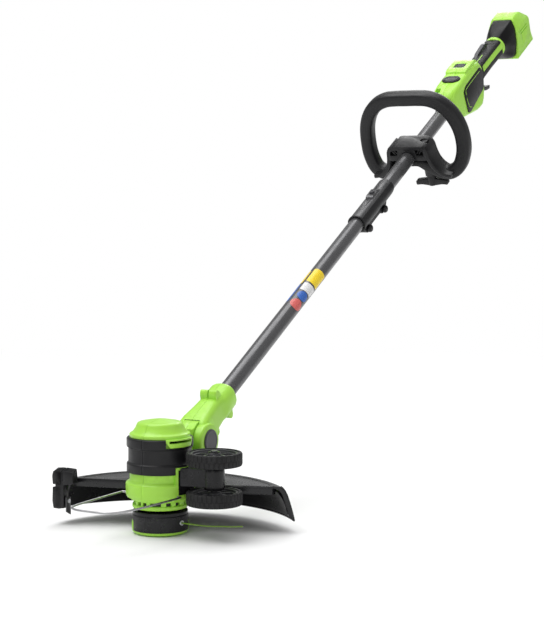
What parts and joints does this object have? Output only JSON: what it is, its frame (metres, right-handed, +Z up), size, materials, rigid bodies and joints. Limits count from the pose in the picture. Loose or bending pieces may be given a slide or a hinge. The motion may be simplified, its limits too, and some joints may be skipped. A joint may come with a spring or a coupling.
{
  "type": "string trimmer",
  "caption": "Battery string trimmer with tilting motor head, bump-feed line spool, guard, edging wheels, split shaft, loop handle and rear grip with an open battery dock.",
  "frame": {"origin": "centre of the bottom face of the bump knob, on the spool axis", "axes": "+Z up along the spool axis, +Y towards the user along the shaft in plan, +X towards the edging wheels"},
  "size_m": [0.3376, 1.5585, 0.8361],
  "materials": {
    "lime_plastic": "satin moulded",
    "black_plastic": "fine texture",
    "dark_grey_plastic": "satin",
    "grey_plastic": "satin",
    "rubber_grip": "soft matt",
    "tyre_rubber": "matt ribbed",
    "tube_metal": "gunmetal satin",
    "coupler_metal": "satin black",
    "steel": "bright",
    "wire_steel": "polished",
    "motor_iron": "laminated",
    "brass_contacts": "plain",
    "line_nylon": "gloss",
    "board_green": "gloss"
  },
  "bodies": {
    "upper_shaft": {"upper_tube": "tube_metal", "upper_cable": "rubber_grip", "coupler": "coupler_metal", "coupler_bolts": "coupler_metal", "tube_collar": "black_plastic", "shell_left": "lime_plastic", "shell_right": "lime_plastic", "shell_screws": "steel", "side_panels": "black_plastic", "grip_cover": "rubber_grip", "funnel_cover": "black_plastic", "control_board": "board_green", "battery_rails": "dark_grey_plastic", "battery_terminals": "brass_contacts"},
    "lower_shaft": {"lower_tube": "tube_metal", "lower_cable": "rubber_grip", "neck_left": "lime_plastic", "neck_right": "lime_plastic", "neck_screws": "steel", "pivot_pin": "steel", "pivot_caps": "dark_grey_plastic"},
    "motor_head": {"housing_left": "lime_plastic", "housing_right": "lime_plastic", "motor_band": "black_plastic", "vent_ring": "lime_plastic", "stator": "motor_iron", "bearings": "steel", "housing_screws": "steel", "guard": "black_plastic", "guard_fins": "black_plastic", "cutter_blade": "steel", "guard_screws": "steel", "wheel_bracket": "black_plastic", "axle": "steel", "axle_clips": "steel"},
    "spool_head": {"motor_shaft": "steel", "rotor": "motor_iron", "fan": "black_plastic", "spool_housing": "black_plastic", "spool_cap": "lime_plastic", "line_spool": "dark_grey_plastic", "line_winding": "line_nylon", "eyelets": "steel", "feed_spring": "steel", "cutting_line": "line_nylon"},
    "knob": {"bump_knob": "black_plastic"},
    "wheel_top": {"wheel_top_hub": "dark_grey_plastic", "wheel_top_tyre": "tyre_rubber"},
    "wheel_low": {"wheel_low_hub": "dark_grey_plastic", "wheel_low_tyre": "tyre_rubber"},
    "edge_guard": {"wire_guard": "wire_steel"},
    "handle": {"handle_loop": "black_plastic", "handle_cap": "black_plastic", "handle_bolt": "steel"},
    "clamp_knob": {"handle_knob": "black_plastic"},
    "shaft_button": {"release_button": "dark_grey_plastic"},
    "power_key": {"power_button": "dark_grey_plastic"},
    "display_key": {"display_button": "dark_grey_plastic"},
    "trigger_lever": {"trigger": "black_plastic"},
    "lockout": {"lockout_lever": "grey_plastic"}
  },
  "joints": [
    {"name": "shaft_release", "type": "slide", "parent": "upper_shaft", "child": "lower_shaft", "axis": [0, -0.8788, -0.4772], "range_m": [0, 0.06]},
    {"name": "head_tilt", "type": "hinge", "parent": "lower_shaft", "child": "motor_head", "pos_m": [0, 0.092, 0.118], "axis": [1, 0, 0], "range_deg": [-30, 10]},
    {"name": "spool_spin", "type": "hinge", "parent": "motor_head", "child": "spool_head", "pos_m": [0, 0, 0], "axis": [0, 0, 1], "continuous": true},
    {"name": "bump_press", "type": "slide", "parent": "spool_head", "child": "knob", "axis": [0, 0, 1], "range_m": [0, 0.005], "stiffness_N_per_m": 2000, "springref_m": -0.003, "deforming": ["feed_spring"]},
    {"name": "wheel_top_spin", "type": "hinge", "parent": "motor_head", "child": "wheel_top", "pos_m": [0.088, 0, 0.1107], "axis": [0, 0, 1], "continuous": true},
    {"name": "wheel_low_spin", "type": "hinge", "parent": "motor_head", "child": "wheel_low", "pos_m": [0.088, 0, 0.0564], "axis": [0, 0, 1], "continuous": true},
    {"name": "edge_guard_fold", "type": "hinge", "parent": "motor_head", "child": "edge_guard", "pos_m": [0, -0.022, 0.057], "axis": [-1, 0, 0], "range_deg": [0, 90]},
    {"name": "release_press", "type": "slide", "parent": "upper_shaft", "child": "shaft_button", "axis": [0, 0.4772, -0.8788], "range_m": [0, 0.0025], "stiffness_N_per_m": 1500, "springref_m": -0.002},
    {"name": "handle_slide", "type": "slide", "parent": "upper_shaft", "child": "handle", "axis": [0, 0.8788, 0.4772], "range_m": [-0.09, 0.09]},
    {"name": "clamp_knob_turn", "type": "hinge", "parent": "handle", "child": "clamp_knob", "pos_m": [0.027, 0.8853, 0.49069], "axis": [0, -0.4772, 0.8788], "continuous": true},
    {"name": "trigger_pull", "type": "hinge", "parent": "upper_shaft", "child": "trigger_lever", "pos_m": [0, 1.16639, 0.70021], "axis": [1, 0, 0], "range_deg": [0, 12], "stiffness_Nm_per_rad": 2, "springref_deg": -5.73},
    {"name": "lockout_press", "type": "hinge", "parent": "upper_shaft", "child": "lockout", "pos_m": [-0.008, 1.17626, 0.72605], "axis": [-1, 0, 0], "range_deg": [0, 6], "stiffness_Nm_per_rad": 1.5, "springref_deg": -5.73},
    {"name": "power_press", "type": "slide", "parent": "upper_shaft", "child": "power_key", "axis": [0, 0.4772, -0.8788], "range_m": [0, 0.0015], "stiffness_N_per_m": 1500, "springref_m": -0.001},
    {"name": "display_press", "type": "slide", "parent": "upper_shaft", "child": "display_key", "axis": [0, 0.4772, -0.8788], "range_m": [0, 0.001], "stiffness_N_per_m": 1500, "springref_m": -0.001}
  ]
}
